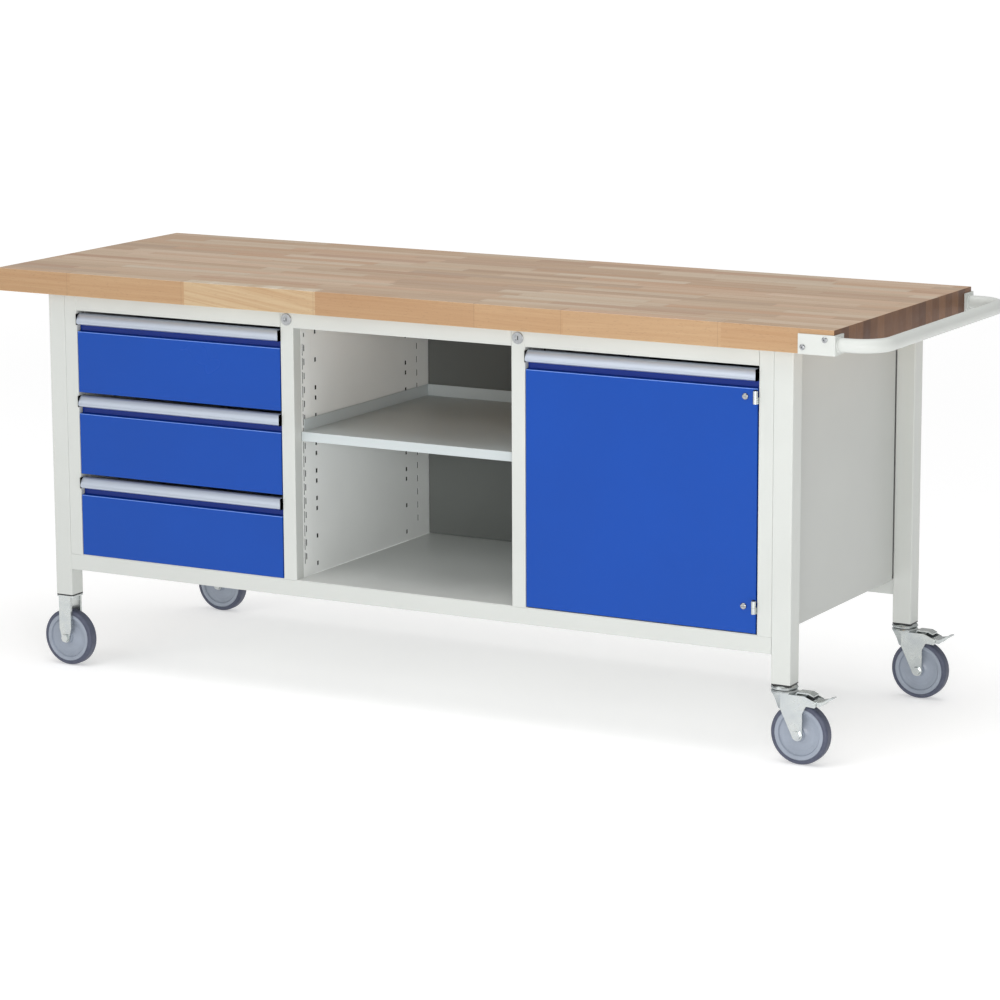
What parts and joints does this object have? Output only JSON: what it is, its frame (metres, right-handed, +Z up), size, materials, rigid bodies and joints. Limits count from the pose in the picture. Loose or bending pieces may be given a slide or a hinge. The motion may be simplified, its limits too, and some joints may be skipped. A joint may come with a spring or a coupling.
{
  "type": "mobile workbench",
  "caption": "Wheeled workbench with a solid wood top, a steel cabinet frame, drawers with full-width grips, an open shelf bay, a hinged cupboard door and a push bar at one end.",
  "frame": {"origin": "on the floor, under the centre of the whole object's box", "axes": "+X along the bench towards the push bar, -Y towards the drawer fronts, +Z up"},
  "size_m": [2.1, 0.714, 0.884],
  "materials": {
    "beech": "oiled, finger-jointed staves",
    "frame_paint": "light grey powder coat",
    "panel_paint": "light grey powder coat",
    "blue_paint": "blue powder coat",
    "grip_aluminium": "satin anodised",
    "zinc": "zinc plated",
    "chrome": "bright",
    "cap_plastic": "black moulded",
    "hub_plastic": "blue-grey moulded",
    "tread": "dark grey-blue thermoplastic rubber"
  },
  "bodies": {
    "bench": {"worktop": "beech", "legs": "frame_paint", "leg_caps": "cap_plastic", "castor_stems": "zinc", "bottom_rails": "frame_paint", "top_rails": "frame_paint", "front_posts": "frame_paint", "side_panels": "frame_paint", "back_panel": "panel_paint", "inner_back_panels": "panel_paint", "drawer_bay_walls": "panel_paint", "open_bay_walls": "panel_paint", "cupboard_walls": "panel_paint", "bay_floors": "panel_paint", "open_bay_shelf": "panel_paint", "cupboard_shelf": "panel_paint", "shelf_clips": "zinc", "fixed_runners": "zinc", "hinge_frame_leaves": "zinc", "lock_housings": "chrome", "push_bar": "frame_paint", "push_bar_brackets": "frame_paint", "bracket_screws": "chrome", "fixed_forks": "zinc", "swivel_heads": "zinc"},
    "drawer_1": {"drawer_1_front": "blue_paint", "drawer_1_grip": "grip_aluminium", "drawer_1_tray": "panel_paint", "drawer_1_runners": "zinc"},
    "drawer_1_middle_runners": {"middle_runners_1": "zinc"},
    "drawer_2": {"drawer_2_front": "blue_paint", "drawer_2_grip": "grip_aluminium", "drawer_2_tray": "panel_paint", "drawer_2_runners": "zinc"},
    "drawer_2_middle_runners": {"middle_runners_2": "zinc"},
    "drawer_3": {"drawer_3_front": "blue_paint", "drawer_3_grip": "grip_aluminium", "drawer_3_tray": "panel_paint", "drawer_3_runners": "zinc"},
    "drawer_3_middle_runners": {"middle_runners_3": "zinc"},
    "door": {"door_panel": "blue_paint", "door_grip": "grip_aluminium", "hinge_door_leaves": "zinc", "door_screws": "chrome"},
    "drawer_lock_plug": {"drawer_lock_plug": "chrome"},
    "door_lock_plug": {"door_lock_plug": "chrome"},
    "swivel_front": {"swivel_fork_front": "zinc"},
    "brake_pedal_front": {"brake_pedal_front": "zinc"},
    "swivel_wheel_front": {"swivel_hub_front": "hub_plastic", "swivel_tyre_front": "tread"},
    "fixed_wheel_front": {"fixed_hub_front": "hub_plastic", "fixed_tyre_front": "tread"},
    "swivel_rear": {"swivel_fork_rear": "zinc"},
    "brake_pedal_rear": {"brake_pedal_rear": "zinc"},
    "swivel_wheel_rear": {"swivel_hub_rear": "hub_plastic", "swivel_tyre_rear": "tread"},
    "fixed_wheel_rear": {"fixed_hub_rear": "hub_plastic", "fixed_tyre_rear": "tread"}
  },
  "joints": [
    {"name": "drawer_1_slide", "type": "slide", "parent": "bench", "child": "drawer_1", "axis": [0, -1, 0], "range_m": [0, 0.5]},
    {"name": "drawer_1_middle_slide", "type": "slide", "parent": "bench", "child": "drawer_1_middle_runners", "axis": [0, -1, 0], "range_m": [0, 0.25]},
    {"name": "drawer_2_slide", "type": "slide", "parent": "bench", "child": "drawer_2", "axis": [0, -1, 0], "range_m": [0, 0.5]},
    {"name": "drawer_2_middle_slide", "type": "slide", "parent": "bench", "child": "drawer_2_middle_runners", "axis": [0, -1, 0], "range_m": [0, 0.25]},
    {"name": "drawer_3_slide", "type": "slide", "parent": "bench", "child": "drawer_3", "axis": [0, -1, 0], "range_m": [0, 0.5]},
    {"name": "drawer_3_middle_slide", "type": "slide", "parent": "bench", "child": "drawer_3_middle_runners", "axis": [0, -1, 0], "range_m": [0, 0.25]},
    {"name": "door_hinge", "type": "hinge", "parent": "bench", "child": "door", "pos_m": [0.7748, -0.331, 0.525], "axis": [0, 0, 1], "range_deg": [0, 100]},
    {"name": "drawer_lock_turn", "type": "hinge", "parent": "bench", "child": "drawer_lock_plug", "pos_m": [-0.316, -0.326, 0.8165], "axis": [0, -1, 0], "range_deg": [0, 90]},
    {"name": "door_lock_turn", "type": "hinge", "parent": "bench", "child": "door_lock_plug", "pos_m": [0.24, -0.326, 0.8165], "axis": [0, -1, 0], "range_deg": [0, 90]},
    {"name": "swivel_front_turn", "type": "hinge", "parent": "bench", "child": "swivel_front", "pos_m": [0.833, -0.305, 0.15], "axis": [0, 0, 1], "continuous": true},
    {"name": "brake_pedal_front_press", "type": "hinge", "parent": "swivel_front", "child": "brake_pedal_front", "pos_m": [0.904, -0.305, 0.13], "axis": [0, 1, 0], "range_deg": [0, 15]},
    {"name": "swivel_wheel_front_roll", "type": "hinge", "parent": "swivel_front", "child": "swivel_wheel_front", "pos_m": [0.87, -0.305, 0.0625], "axis": [0, 1, 0], "continuous": true},
    {"name": "fixed_wheel_front_roll", "type": "hinge", "parent": "bench", "child": "fixed_wheel_front", "pos_m": [-0.909, -0.305, 0.0625], "axis": [0, 1, 0], "continuous": true},
    {"name": "swivel_rear_turn", "type": "hinge", "parent": "bench", "child": "swivel_rear", "pos_m": [0.833, 0.305, 0.15], "axis": [0, 0, 1], "continuous": true},
    {"name": "brake_pedal_rear_press", "type": "hinge", "parent": "swivel_rear", "child": "brake_pedal_rear", "pos_m": [0.904, 0.305, 0.13], "axis": [0, 1, 0], "range_deg": [0, 15]},
    {"name": "swivel_wheel_rear_roll", "type": "hinge", "parent": "swivel_rear", "child": "swivel_wheel_rear", "pos_m": [0.87, 0.305, 0.0625], "axis": [0, 1, 0], "continuous": true},
    {"name": "fixed_wheel_rear_roll", "type": "hinge", "parent": "bench", "child": "fixed_wheel_rear", "pos_m": [-0.909, 0.305, 0.0625], "axis": [0, 1, 0], "continuous": true}
  ],
  "couplings": [
    {"joint": "drawer_1_middle_slide", "follows": "drawer_1_slide", "ratio": 0.5},
    {"joint": "drawer_2_middle_slide", "follows": "drawer_2_slide", "ratio": 0.5},
    {"joint": "drawer_3_middle_slide", "follows": "drawer_3_slide", "ratio": 0.5}
  ]
}
